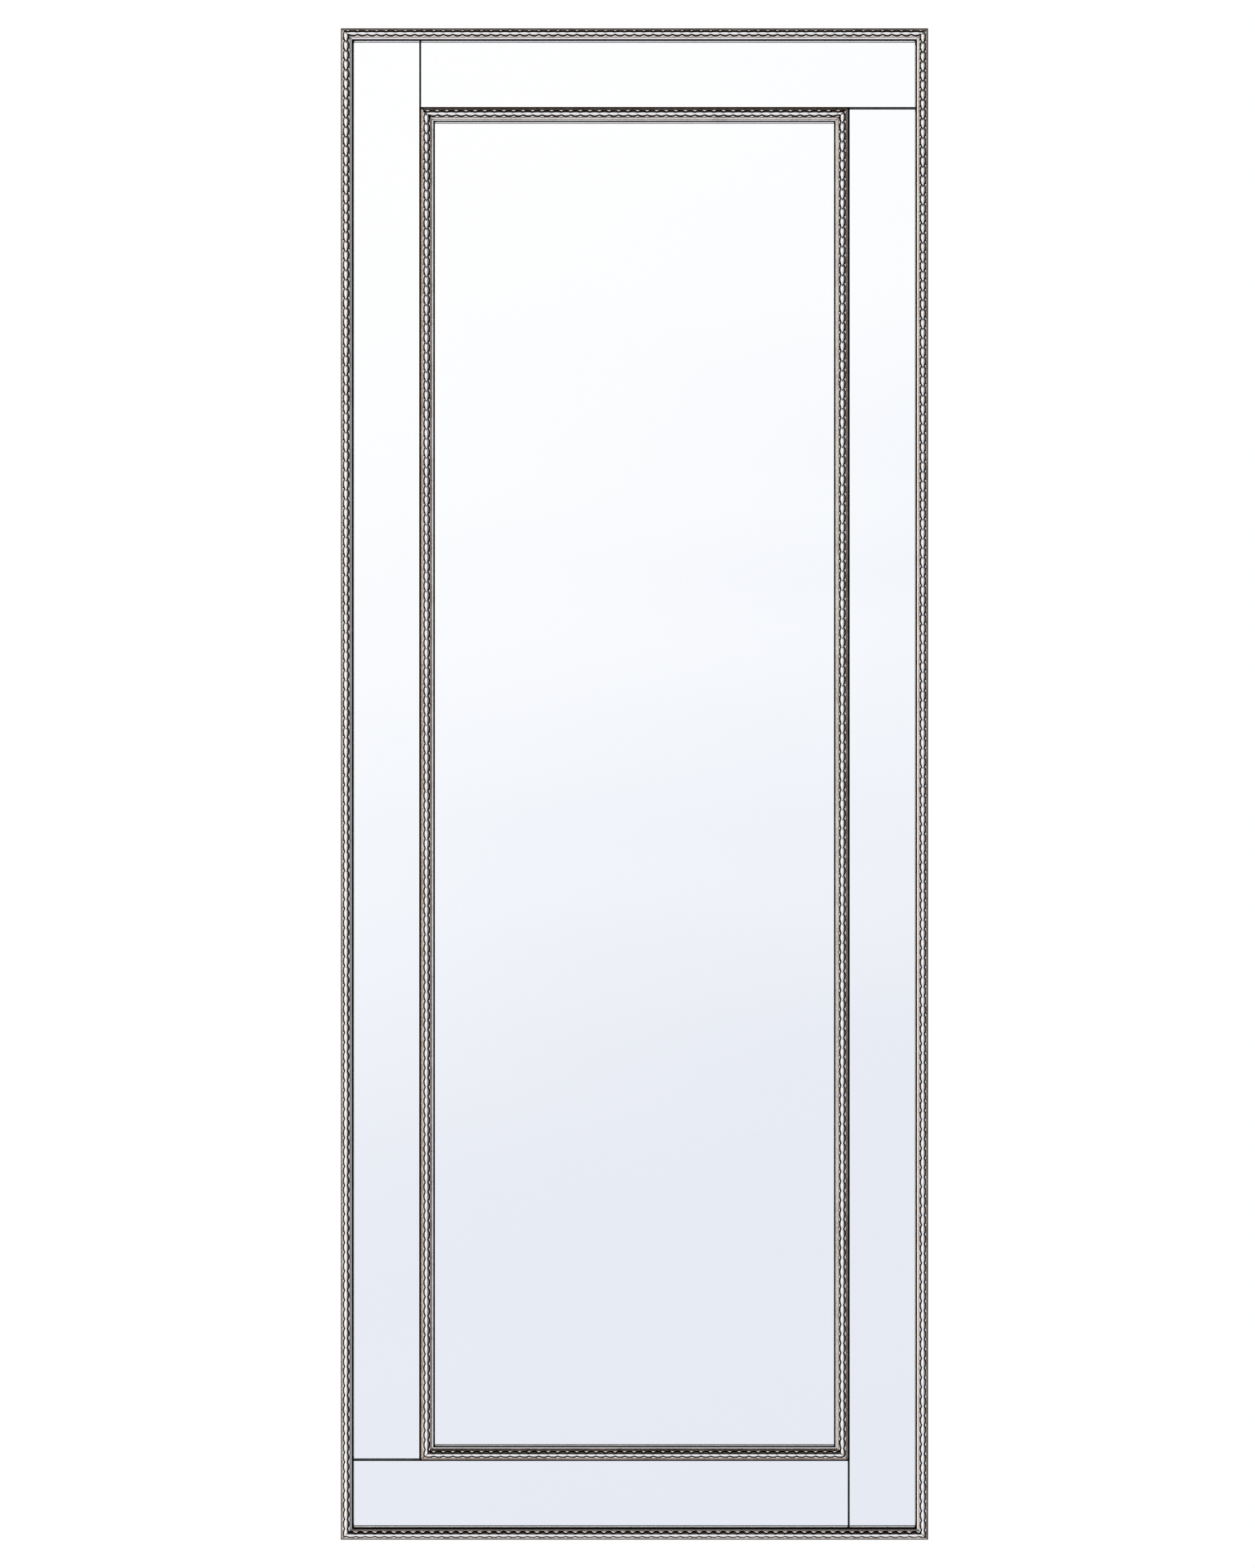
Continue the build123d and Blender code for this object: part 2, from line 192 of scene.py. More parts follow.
def moulding_bar(name, section, half_span, half_drop, offset, quarter_turns):
    """One mitred length of moulding: a long grid over its rows, cut at both mitres and capped."""
    count = int(2 * half_span / bead_pitch * steps_per_bead) + 3
    along, bulge, leaf = bead_waves(count, offset)
    along = along - along[-1] / 2
    rows = section(bulge, leaf)
    points = np.empty((len(rows), count, 3))
    wash_and_shade = np.empty((len(rows), count))
    for index, (across, height, tone) in enumerate(rows):
        points[index, :, 0] = along
        points[index, :, 1] = -(glass_front + height)
        points[index, :, 2] = across - half_drop
        wash_and_shade[index] = tone
    quads = []
    bare_strips = 3  # the hidden sides have no foil
    bare_from = (len(rows) - bare_strips) * (count - 1)
    for row in range(len(rows)):
        start = row * count
        after = (row + 1) % len(rows) * count
        quads += [(start + i, start + i + 1, after + i + 1, after + i) for i in range(count - 1)]
    mesh = bpy.data.meshes.new(name)
    mesh.from_pydata((points.reshape(-1, 3) * MM).tolist(), [], quads)
    mesh.polygons.foreach_set("material_index", [int(i >= bare_from) for i in range(len(quads))])
    # each row's tone: wash in the hollows, and painted shade on the outer edge, the lips and the
    # inner moulding's steep side
    layer = mesh.attributes.new("wash_and_shade", "FLOAT", "POINT")
    layer.data.foreach_set("value", wash_and_shade.reshape(-1).astype(np.float32))
    shell = bmesh.new()
    shell.from_mesh(mesh)
    for side in (-1, 1):
        corner = Vector((side * (half_span - mitre_joint) * MM, 0, -half_drop * MM))
        away = Vector((side, 0, 1)).normalized()
        cut = bmesh.ops.bisect_plane(shell, geom=shell.verts[:] + shell.edges[:] + shell.faces[:],
                                     plane_co=corner, plane_no=away, clear_outer=True)
        rim = [item for item in cut["geom_cut"] if isinstance(item, bmesh.types.BMEdge)]
        for edge in rim:
            for point in edge.verts:
                point[shell.verts.layers.float["wash_and_shade"]] = BLACK
        bmesh.ops.contextual_create(shell, geom=rim)
    bmesh.ops.recalc_face_normals(shell, faces=shell.faces[:])
    shell.to_mesh(mesh)
    shell.free()
    mesh.transform(Matrix.Rotation(math.radians(90 * quarter_turns), 4, "Y"))
    mesh.shade_smooth()
    mesh.set_sharp_from_angle(angle=crease)
    return placed(name, mesh, silver_foil, bare_plastic)


def placed(name, mesh, *materials):
    """An object for a finished mesh, riding on the mirror's body."""
    piece = bpy.data.objects.new(name, mesh)
    scene.collection.objects.link(piece)
    for material in materials:
        mesh.materials.append(material)
    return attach(piece, BODY)


def socket_value(tree, socket, value):
    """Feeds a shader input from another node's output, or sets it to a number or a colour."""
    if isinstance(value, bpy.types.NodeSocket):
        tree.links.new(value, socket)
    else:
        socket.default_value = value


def reckon(tree, operation, first, second=0.0, clamp=False):
    """One arithmetic node and its output."""
    node = tree.nodes.new("ShaderNodeMath")
    node.operation = operation
    node.use_clamp = clamp
    socket_value(tree, node.inputs[0], first)
    socket_value(tree, node.inputs[1], second)
    return node.outputs[0]


def remap(tree, value, low, high, to_low=0.0, to_high=1.0):
    """A smooth step of a value from one range to another."""
    node = tree.nodes.new("ShaderNodeMapRange")
    node.interpolation_type = "SMOOTHSTEP"
    for socket, number in zip(node.inputs[:5], (value, low, high, to_low, to_high)):
        socket_value(tree, socket, number)
    return node.outputs[0]


def blend(tree, factor, first, second, mode="MIX"):
    """A mix of two colours."""
    node = tree.nodes.new("ShaderNodeMix")
    node.data_type = "RGBA"
    node.blend_type = mode
    socket_value(tree, node.inputs[0], factor)
    socket_value(tree, node.inputs[6], first)
    socket_value(tree, node.inputs[7], second)
    return node.outputs[2]


def grain(tree, place, size, detail=3.0, stretch=(1, 1, 1)):
    """Fine noise whose features are about that size in metres, drawn out along an axis."""
    sizer = tree.nodes.new("ShaderNodeMapping")
    sizer.inputs["Scale"].default_value = stretch
    tree.links.new(place, sizer.inputs["Vector"])
    node = tree.nodes.new("ShaderNodeTexNoise")
    node.inputs["Scale"].default_value = 1.0 / size
    node.inputs["Detail"].default_value = detail
    tree.links.new(sizer.outputs[0], node.inputs["Vector"])
    return node.outputs[0]


def new_group(name, inputs, outputs):
    """An empty node group with named inputs and outputs, and its two end nodes."""
    group = bpy.data.node_groups.new(name, "ShaderNodeTree")
    for label, kind, value in inputs:
        socket = group.interface.new_socket(label, in_out="INPUT", socket_type=kind)
        socket.default_value = value
    for label, kind in outputs:
        group.interface.new_socket(label, in_out="OUTPUT", socket_type=kind)
    return group, group.nodes.new("NodeGroupInput"), group.nodes.new("NodeGroupOutput")


def finish(name, group, settings, bump=0.0, **constants):
    """A material whose colour, roughness and relief come from a group with its own settings."""
    material = bpy.data.materials.new(name)
    material.use_nodes = True
    tree = material.node_tree
    shader = tree.nodes["Principled BSDF"]
    coat = tree.nodes.new("ShaderNodeGroup")
    coat.node_tree = group
    for label, value in settings.items():
        socket_value(tree, coat.inputs[label], value)
    for label in ("Base Color", "Roughness", "Metallic"):
        if label in coat.outputs:
            tree.links.new(coat.outputs[label], shader.inputs[label])
    if bump:
        relief = tree.nodes.new("ShaderNodeBump")
        relief.inputs["Distance"].default_value = bump
        tree.links.new(coat.outputs["Height"], relief.inputs["Height"])
        tree.links.new(relief.outputs[0], shader.inputs["Normal"])
    for label, value in constants.items():
        shader.inputs[label.replace("_", " ").title()].default_value = value
    return material


def aged_foil_group():
    """Foil over plastic: clean on the high places, brown wash in the hollows, painted shade on
    edges and lips, specks and rubs.
    """
    group, given, made = new_group("aged_foil", [
        ("Foil", "NodeSocketColor", (0.93, 0.9, 0.86, 1)),
        ("Tint", "NodeSocketColor", (0.55, 0.45, 0.38, 1)),
        ("Wash And Shade", "NodeSocketColor", (0.05, 0.035, 0.025, 1)),
        ("Specks", "NodeSocketFloat", 0.5),
        ("Sheen", "NodeSocketFloat", 0.22),
    ], [
        ("Base Color", "NodeSocketColor"), ("Roughness", "NodeSocketFloat"),
        ("Metallic", "NodeSocketFloat"), ("Height", "NodeSocketFloat"),
    ])
    place = group.nodes.new("ShaderNodeTexCoord").outputs["Object"]
    # the rows' tone: wash in the hollows, and painted shade on the outer edge, the lips and the
    # inner moulding's steep side
    reader = group.nodes.new("ShaderNodeAttribute")
    reader.attribute_name = "wash_and_shade"
    wash_and_shade_tone = reader.outputs["Fac"]
    cloud = grain(group, place, 0.021, 4.0)
    fine = grain(group, place, 0.0009, 2.0)
    streak = grain(group, place, 0.0022, 3.0)
    drift = reckon(group, "ADD", remap(group, cloud, 0.3, 0.7, -0.09, 0.09),
                   remap(group, streak, 0.3, 0.7, -0.1, 0.1))
    depth = reckon(group, "ADD", wash_and_shade_tone, drift)
    tinted = blend(group, 0.5, given.outputs["Foil"], given.outputs["Tint"])
    colour = blend(group, remap(group, depth, 0.08, 0.36), given.outputs["Foil"], tinted)
    colour = blend(group, remap(group, depth, 0.3, 0.62), colour, given.outputs["Tint"])
    # the darkest rows are brown wash in the grooves and painted shade on the edges and lips
    wash_and_shade_share = remap(group, depth, 0.62, 0.98)
    colour = blend(group, wash_and_shade_share, colour, given.outputs["Wash And Shade"])
    dots = group.nodes.new("ShaderNodeTexVoronoi")
    dots.inputs["Scale"].default_value = 1 / 0.0042
    group.links.new(place, dots.inputs["Vector"])
    near_dot = remap(group, dots.outputs["Distance"], 0.02, 0.13, 1.0, 0.0)
    patchy = remap(group, grain(group, place, 0.012, 2.0), 0.5, 0.68)
    speck = reckon(group, "MULTIPLY", near_dot, patchy)
    speck = reckon(group, "MULTIPLY", speck, given.outputs["Specks"], clamp=True)
    colour = blend(group, speck, colour, given.outputs["Wash And Shade"])
    group.links.new(colour, made.inputs["Base Color"])
    rough = reckon(group, "ADD", given.outputs["Sheen"], reckon(group, "MULTIPLY", wash_and_shade_share, 0.5))
    rough = reckon(group, "ADD", rough, reckon(group, "MULTIPLY", fine, 0.08))
    group.links.new(rough, made.inputs["Roughness"])
    metal = remap(group, depth, 0.6, 1.0, 1.0, 0.88)
    group.links.new(metal, made.inputs["Metallic"])
    relief = reckon(group, "ADD", reckon(group, "MULTIPLY", fine, 0.4), streak)
    group.links.new(relief, made.inputs["Height"])
    return group


aged_foil = aged_foil_group()
silver_foil = finish("champagne_silver_foil", aged_foil, {
    "Foil": (1.0, 0.98, 0.955, 1), "Tint": (0.54, 0.41, 0.325, 1),
    "Wash And Shade": (0.009, 0.006, 0.005, 1), "Specks": 0.7, "Sheen": 0.15,
}, bump=0.00005)


def fine_pores_group():
    """Foamed or moulded plastic and rubber: close-set pores with painted shade in them, cloudy
    colour and a little dust.
    """
    group, given, made = new_group("fine_pores", [
        ("Colour", "NodeSocketColor", (0.8, 0.8, 0.78, 1)),
        ("Stain And Pore Shade", "NodeSocketColor", (0.5, 0.5, 0.48, 1)),
        ("Pore Size", "NodeSocketFloat", 0.0006), ("Sheen", "NodeSocketFloat", 0.6),
    ], [
        ("Base Color", "NodeSocketColor"), ("Roughness", "NodeSocketFloat"),
        ("Height", "NodeSocketFloat"),
    ])
    place = group.nodes.new("ShaderNodeTexCoord").outputs["Object"]
    cells = group.nodes.new("ShaderNodeTexVoronoi")
    group.links.new(place, cells.inputs["Vector"])
    group.links.new(reckon(group, "DIVIDE", 1.0, given.outputs["Pore Size"]), cells.inputs["Scale"])
    cloud = grain(group, place, 0.03, 3.0)
    pore = remap(group, cells.outputs["Distance"], 0.15, 0.6)
    stain = reckon(group, "MULTIPLY", remap(group, cloud, 0.45, 0.75), 0.35)
    # the pores are painted a little darker, which is painted shade in them, on top of the cloudy
    # stain
    stain_and_pore_shade = reckon(group, "ADD", stain, reckon(group, "MULTIPLY", pore, 0.25), clamp=True)
    colour = blend(group, stain_and_pore_shade, given.outputs["Colour"], given.outputs["Stain And Pore Shade"])
    group.links.new(colour, made.inputs["Base Color"])
    rough = reckon(group, "ADD", given.outputs["Sheen"], reckon(group, "MULTIPLY", cloud, 0.2))
    group.links.new(rough, made.inputs["Roughness"])
    group.links.new(reckon(group, "SUBTRACT", 1.0, pore), made.inputs["Height"])
    return group


fine_pores = fine_pores_group()
bare_plastic = finish("bare_polystyrene", fine_pores, {
    "Colour": (0.84, 0.82, 0.77, 1), "Stain And Pore Shade": (0.66, 0.62, 0.55, 1), "Pore Size": 0.0005,
    "Sheen": 0.5,
}, bump=0.0001)

# side, half its length, how far out it lies, where its chain starts, quarter turns from below
outer_bars = (("bottom", half_width, half_height, 0.31, 0),
              ("left", half_height, half_width, 0.62, 1),
              ("top", half_width, half_height, 0.12, 2),
              ("right", half_height, half_width, 0.85, 3))
for side, half_span, half_drop, offset, turns in outer_bars:
    bar = moulding_bar("outer_beading_" + side, outer_rows, half_span, half_drop, offset, turns)
    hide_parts("outer_moulding_" + side)

# Inner moulding
# The same foil-wrapped moulding in a taller section, screwed to the board: a steep plain side
# towards the strips, the bead chain and its leaves, then a lip of two steps over the centre glass.
# The steep side, the lip's inner wall and the edge of its underside are painted near black as
# painted shade.

inner_low, inner_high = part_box("inner_moulding_bottom")
inner_width = (inner_high[2] - inner_low[2]) / MM
inner_foot = 9.3   # how wide it stands on the board
inner_half_width = inner_high[0] / MM
inner_half_height = -inner_low[2] / MM
board_front = -inner_high[1] / MM


def inner_rows(bulge, leaf):
    """The inner moulding's section as a closed loop of lengthwise rows, from the foot forwards."""
    shoulder = 1.8
    slope_top = 4.0
    foot = board_front - glass_front
    rows = [
        # the steep side is painted near black from foot to shoulder: painted shade
        (0.25, foot, BLACK), (0.0, foot + 0.25, BLACK), (0.0, shoulder - 0.6, BLACK),
        (0.14, shoulder - 0.2, BLACK), (0.5, shoulder + 0.25, BLACK),
        (1.05, shoulder + 0.85, BLACK), (1.35, shoulder + 1.15, BLACK),
        (1.52, shoulder + 1.32, 0.5), (2.1, shoulder + 1.85, 0.48),
        (2.6, slope_top + 0.05, 0.52), (2.88, slope_top + 0.25, 0.85),
    ]
    rows += chain_rows(bulge, leaf, 6.3, 6.9, (3.1, slope_top + 0.3, 5.5), (9.35, 3.1, 4.9))
    rows += [
        (9.55, 2.85, 0.9), (9.7, 3.0, 0.4), (9.95, 2.9, 0.1), (10.35, 2.55, 0.15),
        (10.6, 2.25, 0.75), (10.76, 2.05, BLACK), (10.9, 2.25, 0.4), (11.15, 2.42, 0.05),
        # the lip's inner wall and the edge of its underside are painted near black: painted shade,
        # also seen in the glass as a dark line
        (11.6, 2.42, 0.05), (11.84, 2.34, 0.4), (12.0, 2.15, BLACK), (12.4, 1.7, BLACK),
        (12.68, 1.4, BLACK), (inner_width, 1.15, BLACK), (inner_width - 0.02, 0.95, BLACK),
        (inner_width - 0.38, 0.76, BLACK), (inner_width - 0.46, 0.72, 0.0),
        (inner_width - 1.6, lip_gap, 0.0), (inner_foot, lip_gap, 0.2), (inner_foot, foot, BLACK),
    ]
    return rows


inner_bars = (("bottom", inner_half_width, inner_half_height, 0.43, 0),
              ("left", inner_half_height, inner_half_width, 0.2, 1),
              ("top", inner_half_width, inner_half_height, 0.77, 2),
              ("right", inner_half_height, inner_half_width, 0.51, 3))
for side, half_span, half_drop, offset, turns in inner_bars:
    bar = moulding_bar("inner_beading_" + side, inner_rows, half_span, half_drop, offset, turns)
    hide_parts("inner_moulding_" + side)

# Mirror panes
# Five panes of 3 mm float glass, silvered and sealed on the back, taped to the board. Each front
# edge is eased to a small polished arris, so the joints between strips read as thin dark lines.

arris = 0.42
silver_lift = 0.04   # the silvering lies this far in front of the tape
FRONT, SILVERED, GROUND = range(3)


def haze_group():
    """Clean glass as it really is: a trace of dust and wiping marks."""
    group, given, made = new_group("haze", [
        ("Colour", "NodeSocketColor", (1, 1, 1, 1)), ("Haze", "NodeSocketFloat", 0.01),
    ], [("Base Color", "NodeSocketColor"), ("Roughness", "NodeSocketFloat")])
    place = group.nodes.new("ShaderNodeTexCoord").outputs["Object"]
    wiped = grain(group, place, 0.16, 3.0, (1.0, 1.0, 0.35))
    dust = remap(group, grain(group, place, 0.0016, 1.0), 0.66, 0.8)
    mark = remap(group, wiped, 0.45, 0.75)
    total = reckon(group, "ADD", reckon(group, "MULTIPLY", mark, 0.5), dust)
    veil = reckon(group, "MULTIPLY", total, given.outputs["Haze"])
    group.links.new(veil, made.inputs["Roughness"])
    dim = blend(group, reckon(group, "MULTIPLY", total, 0.006), given.outputs["Colour"],
                (0.7, 0.7, 0.68, 1))
    group.links.new(dim, made.inputs["Base Color"])
    return group


haze = haze_group()
clear_glass = finish("clear_float_glass", haze, {"Colour": (1.0, 1.0, 1.0, 1), "Haze": 0.008},
                     transmission_weight=1.0)
clear_glass.node_tree.nodes["Principled BSDF"].inputs["IOR"].default_value = 1.5
silvering = finish("silvering", haze, {
    "Colour": (0.995, 0.997, 1.0, 1), "Haze": 0.004,
}, metallic=1.0)
ground_edge = finish("polished_glass_edge", haze, {
    "Colour": (0.07, 0.085, 0.09, 1), "Haze": 0.35,
}, metallic=0.0)


def pane(node):
    """A closed slab of glass with an eased front edge, silvered on its back."""
    low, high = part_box(node)
    ease = arris * MM
    shell = bmesh.new()
    rings = []
    back_face = high[1] - silver_lift * MM
    for depth, inset in ((low[1], ease), (low[1] + ease, 0.0), (back_face, 0.0)):
        corners = ((low[0] + inset, low[2] + inset), (high[0] - inset, low[2] + inset),
                   (high[0] - inset, high[2] - inset), (low[0] + inset, high[2] - inset))
        rings.append([shell.verts.new((x, depth, z)) for x, z in corners])
    front = shell.faces.new(rings[0])
    front.material_index = FRONT
    back = shell.faces.new(rings[2][::-1])
    back.material_index = SILVERED
    for near, far in zip(rings, rings[1:]):
        for i in range(4):
            edge = shell.faces.new((near[i], far[i], far[(i + 1) % 4], near[(i + 1) % 4]))
            edge.material_index = GROUND
    bmesh.ops.recalc_face_normals(shell, faces=shell.faces[:])
    mesh = bpy.data.meshes.new("silvered_" + node)
    shell.to_mesh(mesh)
    shell.free()
    piece = placed("silvered_" + node, mesh, clear_glass, silvering, ground_edge)
    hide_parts(node)


for node in ("mirror_strip_left", "mirror_strip_top", "mirror_strip_right",
             "mirror_strip_bottom", "centre_mirror"):
    pane(node)

# Back panel
# 9 mm fibreboard, sprayed matt black before assembly. Everything else is fixed to it; its rear face
# shows pressed fibres, roller marks and workshop dust.


def pressed_fibre_group():
    """Painted fibreboard: short matted fibres, faint long roller marks, rubbed and dusty places."""
    group, given, made = new_group("pressed_fibre", [
        ("Paint", "NodeSocketColor", (0.02, 0.02, 0.02, 1)),
        ("Fibre", "NodeSocketColor", (0.16, 0.12, 0.08, 1)),
        ("Dust", "NodeSocketFloat", 0.3),
    ], [
        ("Base Color", "NodeSocketColor"), ("Roughness", "NodeSocketFloat"),
        ("Height", "NodeSocketFloat"),
    ])
    place = group.nodes.new("ShaderNodeTexCoord").outputs["Object"]
    matted = grain(group, place, 0.0024, 6.0, (1.0, 1.0, 0.35))
    crossed = grain(group, place, 0.0019, 5.0, (0.3, 1.0, 1.0))
    rolled = grain(group, place, 0.03, 4.0, (1.0, 1.0, 0.12))
    cloud = grain(group, place, 0.14, 4.0)
    weave = reckon(group, "ADD", reckon(group, "MULTIPLY", matted, 0.5),
                   reckon(group, "MULTIPLY", crossed, 0.5))
    thin = reckon(group, "MULTIPLY", remap(group, weave, 0.54, 0.66), 0.5)
    colour = blend(group, thin, given.outputs["Paint"], given.outputs["Fibre"])
    film = reckon(group, "MULTIPLY", remap(group, cloud, 0.42, 0.7),
                  remap(group, rolled, 0.35, 0.7))
    film = reckon(group, "MULTIPLY", film, given.outputs["Dust"])
    colour = blend(group, film, colour, (0.33, 0.31, 0.28, 1))
    group.links.new(colour, made.inputs["Base Color"])
    rough = reckon(group, "ADD", 0.6, reckon(group, "MULTIPLY", weave, 0.35))
    group.links.new(rough, made.inputs["Roughness"])
    relief = reckon(group, "ADD", weave, reckon(group, "MULTIPLY", rolled, 0.3))
    group.links.new(relief, made.inputs["Height"])
    return group


def dress(material, *nodes):
    """Gives the pieces that keep their made shape their real finish."""
    for node in nodes:
        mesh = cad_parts[node].data
        mesh.materials.clear()
        mesh.materials.append(material)


black_fibreboard = finish("black_fibreboard", pressed_fibre_group(), {
    "Paint": (0.018, 0.0175, 0.017, 1), "Fibre": (0.06, 0.052, 0.044, 1), "Dust": 0.1,
}, bump=0.0003)
dress(black_fibreboard, "backboard")

# Mounting tapes
# Double-sided closed-cell foam, 1 mm thick: a wide band behind each strip and four narrow ones
# behind the centre glass. They hold the glass to the board and take up its small unevenness.

grey_foam = finish("grey_foam", fine_pores, {
    "Colour": (0.7, 0.7, 0.68, 1), "Stain And Pore Shade": (0.42, 0.42, 0.4, 1), "Pore Size": 0.0004,
    "Sheen": 0.7,
}, bump=0.00025)
dress(grey_foam, "strip_tape_left", "strip_tape_top", "strip_tape_right", "strip_tape_bottom",
      "centre_tape_1", "centre_tape_2", "centre_tape_3", "centre_tape_4")

# Corner nails and points
# Bent steel nails pressed across the rear of each mitre, and thin steel points shot into the outer
# moulding to hold the board. Both are plain rolled steel, oily blue-grey with rusty specks.


def rolled_steel_group():
    """Metal as it leaves the tool: drawing lines, dull oily patches, small scratches and specks."""
    group, given, made = new_group("rolled_metal", [
        ("Metal", "NodeSocketColor", (0.5, 0.5, 0.5, 1)),
        ("Dull", "NodeSocketColor", (0.25, 0.23, 0.2, 1)),
        ("Tarnish", "NodeSocketFloat", 0.4), ("Sheen", "NodeSocketFloat", 0.3),
    ], [
        ("Base Color", "NodeSocketColor"), ("Roughness", "NodeSocketFloat"),
        ("Height", "NodeSocketFloat"),
    ])
    place = group.nodes.new("ShaderNodeTexCoord").outputs["Object"]
    drawn = grain(group, place, 0.0005, 2.0, (1.0, 1.0, 0.04))
    cross = grain(group, place, 0.0007, 2.0, (0.05, 1.0, 1.0))
    patch = grain(group, place, 0.006, 5.0)
    speck = remap(group, grain(group, place, 0.0008, 2.0), 0.66, 0.76)
    dull = reckon(group, "ADD", remap(group, patch, 0.42, 0.7), speck, clamp=True)
    dull = reckon(group, "MULTIPLY", dull, given.outputs["Tarnish"])
    colour = blend(group, dull, given.outputs["Metal"], given.outputs["Dull"])
    group.links.new(colour, made.inputs["Base Color"])
    lines = reckon(group, "MULTIPLY", reckon(group, "ADD", drawn, cross), 0.5)
    rough = reckon(group, "ADD", given.outputs["Sheen"], reckon(group, "MULTIPLY", dull, 0.35))
    rough = reckon(group, "ADD", rough, reckon(group, "MULTIPLY", lines, 0.12))
    group.links.new(rough, made.inputs["Roughness"])
    group.links.new(lines, made.inputs["Height"])
    return group


rolled_metal = rolled_steel_group()
nail_steel = finish("bare_nail_steel", rolled_metal, {
    "Metal": (0.5, 0.5, 0.51, 1), "Dull": (0.2, 0.13, 0.08, 1), "Tarnish": 0.6, "Sheen": 0.28,
}, bump=0.00004, metallic=1.0)
dress(nail_steel, "outer_corner_nails", "inner_corner_nails")
point_steel = finish("blued_point_steel", rolled_metal, {
    "Metal": (0.38, 0.4, 0.44, 1), "Dull": (0.14, 0.11, 0.09, 1), "Tarnish": 0.7, "Sheen": 0.25,
}, bump=0.00003, metallic=1.0)
dress(point_steel, "framers_points")

# Moulding screws
# Black countersunk wood screws, driven from the rear through the board into the inner moulding. The
# phosphate coat is matt and slightly worn to steel.

black_screw = finish("black_phosphate", rolled_metal, {
    "Metal": (0.03, 0.03, 0.032, 1), "Dull": (0.16, 0.155, 0.15, 1), "Tarnish": 0.5, "Sheen": 0.45,
}, bump=0.00003, metallic=0.7)
dress(black_screw, "inner_moulding_screws")

# Hanger straps, rings and their screws
# A nickel-plated steel strip folded round the straight leg of a D ring of bright wire, two for a
# portrait mirror and two for a landscape one, each held by two zinc-plated pan-head screws.

HANGERS = ("portrait_left", "portrait_right", "landscape_upper", "landscape_lower")
plated_strap = finish("brushed_nickel_plate", rolled_metal, {
    "Metal": (0.7, 0.68, 0.63, 1), "Dull": (0.45, 0.42, 0.37, 1), "Tarnish": 0.35, "Sheen": 0.24,
}, bump=0.00005, metallic=1.0)
dress(plated_strap, *("hanger_strap_" + place for place in HANGERS))
bright_wire = finish("bright_nickel_wire", rolled_metal, {
    "Metal": (0.76, 0.75, 0.71, 1), "Dull": (0.5, 0.47, 0.42, 1), "Tarnish": 0.25, "Sheen": 0.12,
}, bump=0.00002, metallic=1.0)
dress(bright_wire, *("hanger_ring_" + place for place in HANGERS))
zinc_screw = finish("bright_zinc_plate", rolled_metal, {
    "Metal": (0.68, 0.69, 0.7, 1), "Dull": (0.4, 0.4, 0.38, 1), "Tarnish": 0.4, "Sheen": 0.2,
}, bump=0.00003, metallic=1.0)
dress(zinc_screw, "hanger_screws")

# Wall bumpers
# Four moulded black rubber feet, stuck on near the corners so the mirror hangs clear of the wall
# and doesn't mark it. The mould leaves a fine satin grain.

black_rubber = finish("black_bumper_rubber", fine_pores, {
    "Colour": (0.022, 0.022, 0.023, 1), "Stain And Pore Shade": (0.05, 0.049, 0.047, 1), "Pore Size": 0.0003,
    "Sheen": 0.5,
}, bump=0.00008)
dress(black_rubber, "wall_bumper_upper_left", "wall_bumper_upper_right",
      "wall_bumper_lower_left", "wall_bumper_lower_right")

# Studio
# A plain white sweep: white wherever the camera looks past the mirror, paling to a cool grey low in
# front of the glass, and darker high overhead and to the right, where the beads take their shadows.

world = bpy.data.worlds.new("studio")
scene.world = world
world.use_nodes = True
sky = world.node_tree
sky.nodes.clear()
heading = sky.nodes.new("ShaderNodeTexCoord").outputs["Generated"]
split = sky.nodes.new("ShaderNodeSeparateXYZ")
sky.links.new(heading, split.inputs[0])
right, back, up = split.outputs
LEAST_AHEAD = 0.05      # keeps the slant finite beside and behind the mirror
RIGHTWARD_SLANT = 0.5   # how much higher the grey begins on the right
BAND_DRIFT = 0.045      # how uneven the change from white to grey is
ahead = reckon(sky, "MAXIMUM", reckon(sky, "MULTIPLY", back, -1.0), LEAST_AHEAD)
across = reckon(sky, "DIVIDE", right, ahead)
slant = reckon(sky, "SUBTRACT", reckon(sky, "DIVIDE", up, ahead),
               reckon(sky, "MULTIPLY", across, RIGHTWARD_SLANT))
drifting = sky.nodes.new("ShaderNodeMapping")
drifting.inputs["Rotation"].default_value = (0, math.radians(-27), 0)
drifting.inputs["Scale"].default_value = (1.5, 4.0, 9.0)
sky.links.new(heading, drifting.inputs["Vector"])
haze_bands = sky.nodes.new("ShaderNodeTexNoise")
haze_bands.inputs["Scale"].default_value = 1.0
sky.links.new(drifting.outputs[0], haze_bands.inputs["Vector"])
slant = reckon(sky, "ADD", slant,
               remap(sky, haze_bands.outputs[0], 0.3, 0.7, -BAND_DRIFT, BAND_DRIFT))
stops = sky.nodes.new("ShaderNodeValToRGB")
sky.links.new(remap(sky, slant, -0.32, 0.3), stops.inputs[0])
ramp = stops.color_ramp
ramp.elements[0].position = 0.0
ramp.elements[0].color = (0.80, 0.825, 0.895, 1)
ramp.elements[1].position = 1.0
ramp.elements[1].color = (1.0, 1.0, 1.0, 1)
for position, colour in ((0.18, (0.815, 0.838, 0.905, 1)), (0.42, (0.87, 0.89, 0.945, 1)),
                         (0.62, (0.925, 0.943, 0.978, 1)), (0.82, (0.975, 0.982, 0.998, 1))):
    stop = ramp.elements.new(position)
    stop.color = colour
overhead = remap(sky, up, 0.36, 0.68, 1.0, 0.012)
rightward = remap(sky, right, 0.42, 0.8, 1.0, 0.36)
lit = reckon(sky, "MULTIPLY", overhead, rightward)
seen = blend(sky, 1.0, stops.outputs[0], lit, "MULTIPLY")
rays = sky.nodes.new("ShaderNodeLightPath")
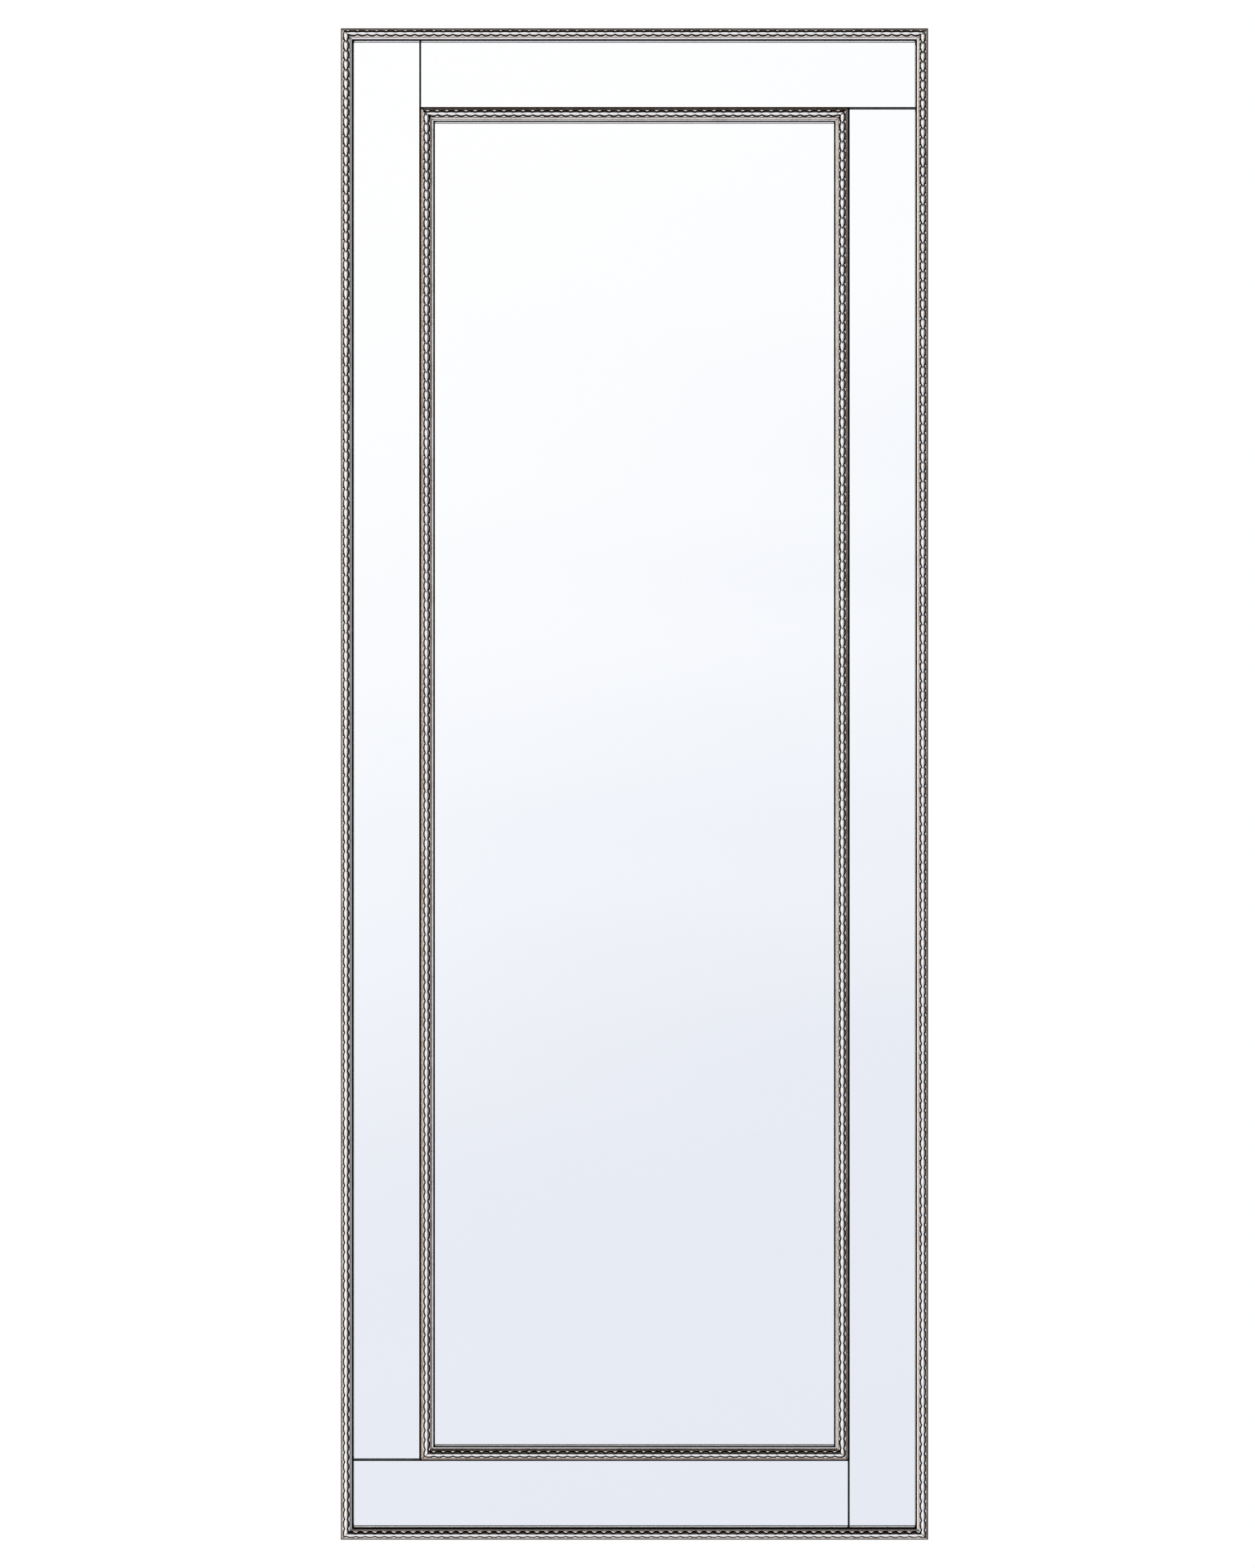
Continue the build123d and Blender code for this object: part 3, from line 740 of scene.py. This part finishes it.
mirrored = reckon(sky, "MAXIMUM", rays.outputs["Is Glossy Ray"],
                  rays.outputs["Is Transmission Ray"])
ambient = blend(sky, mirrored, (0.5, 0.5, 0.5, 1), seen)
shown = blend(sky, rays.outputs["Is Camera Ray"], ambient, (1.0, 1.0, 1.0, 1))
background = sky.nodes.new("ShaderNodeBackground")
sky.links.new(shown, background.inputs["Color"])
sky_out = sky.nodes.new("ShaderNodeOutputWorld")
sky.links.new(background.outputs[0], sky_out.inputs["Surface"])


def soft_lamp(name, place, size, watts):
    """A large square soft box aimed at the middle of the mirror, kept out of reflections."""
    data = bpy.data.lights.new(name, "AREA")
    data.size = size
    data.energy = watts
    lamp = bpy.data.objects.new(name, data)
    scene.collection.objects.link(lamp)
    lamp.location = place
    lamp.rotation_euler = (-Vector(place)).to_track_quat("-Z", "Y").to_euler()
    lamp.visible_glossy = False
    lamp.visible_transmission = False


soft_lamp("front_lamp", (-1.8, -2.4, 1.2), 1.6, 40)
soft_lamp("rear_lamp", (1.6, 2.4, 1.6), 1.6, 40)
soft_lamp("top_lamp", (0.0, 0.0, 3.0), 2.0, 60)

# Floor
# A pale matt sweep below the mirror. It takes the mirror's soft shadow and fades out to the white
# of the studio all round it.

floor_drop = 0.3
floor_reach = 1.6
fade_from, fade_to = 0.35, 0.95
floor_mesh = bpy.data.meshes.new("floor")
floor_level = frame_low[2] - floor_drop
floor_corners = [(x * floor_reach, y * floor_reach, floor_level)
                 for x, y in ((-1, -1), (1, -1), (1, 1), (-1, 1))]
floor_mesh.from_pydata(floor_corners, [], [(0, 1, 2, 3)])
floor = bpy.data.objects.new("floor", floor_mesh)
scene.collection.objects.link(floor)
floor_paint = bpy.data.materials.new("pale_floor")
floor_paint.use_nodes = True
paint = floor_paint.node_tree
paint.nodes.clear()
spot = paint.nodes.new("ShaderNodeTexCoord").outputs["Object"]
distance = paint.nodes.new("ShaderNodeVectorMath")
distance.operation = "LENGTH"
flat = paint.nodes.new("ShaderNodeVectorMath")
flat.operation = "MULTIPLY"
flat.inputs[1].default_value = (1, 1, 0)
paint.links.new(spot, flat.inputs[0])
paint.links.new(flat.outputs[0], distance.inputs[0])
from_below = paint.nodes.new("ShaderNodeNewGeometry").outputs["Backfacing"]
fade = reckon(paint, "MULTIPLY",
              remap(paint, distance.outputs["Value"], fade_from, fade_to, 1.0, 0.0),
              reckon(paint, "SUBTRACT", 1.0, from_below))
matt = paint.nodes.new("ShaderNodeBsdfDiffuse")
matt.inputs["Color"].default_value = (0.95, 0.95, 0.95, 1)
clear = paint.nodes.new("ShaderNodeBsdfTransparent")
mixed = paint.nodes.new("ShaderNodeMixShader")
paint.links.new(fade, mixed.inputs[0])
paint.links.new(clear.outputs[0], mixed.inputs[1])
paint.links.new(matt.outputs[0], mixed.inputs[2])
floor_out = paint.nodes.new("ShaderNodeOutputMaterial")
paint.links.new(mixed.outputs[0], floor_out.inputs["Surface"])
floor_mesh.materials.append(floor_paint)
floor.visible_glossy = False
floor.visible_transmission = False
